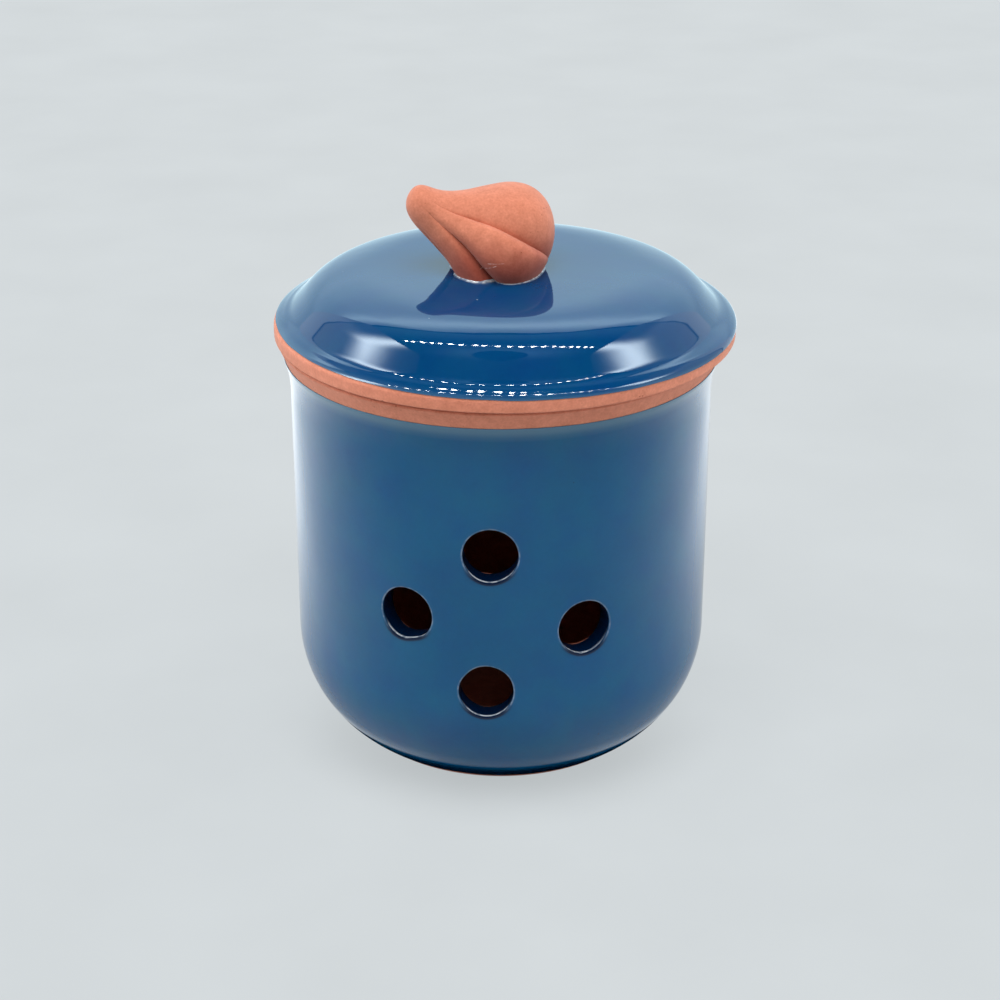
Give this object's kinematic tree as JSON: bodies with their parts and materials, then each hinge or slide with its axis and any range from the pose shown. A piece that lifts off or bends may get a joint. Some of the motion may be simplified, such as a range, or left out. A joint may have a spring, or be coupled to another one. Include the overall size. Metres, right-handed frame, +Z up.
{
  "type": "garlic keeper",
  "caption": "Round terracotta jar, blue-glazed outside and pierced by air holes, under a loose domed lid with a garlic-bulb knob. It stores garlic dry, dark and aired.",
  "frame": {"origin": "middle of the jar's foot, on the surface that the jar stands on", "axes": "+Z up along the jar's axis; -Y towards the front, which holds the air holes; +X to the right seen from the front"},
  "size_m": [0.1086, 0.1086, 0.1366],
  "materials": {
    "terracotta": "bare fired earthenware, matt, fine sandy grain",
    "blue_glaze": "glossy transparent deep blue glaze over the clay, with fine specks and pinholes",
    "fired_slip": "matt fired slip"
  },
  "bodies": {
    "jar": {"jar_body": "terracotta", "jar_glaze": "blue_glaze"},
    "lid": {"lid_body": "terracotta", "lid_glaze": "blue_glaze", "knob_slip": "fired_slip", "clove_knob": "terracotta"}
  },
  "joints": [
    {"name": "lid_lift", "type": "slide", "parent": "jar", "child": "lid", "axis": [0, 0, 1], "range_m": [0, 0.1]}
  ]
}
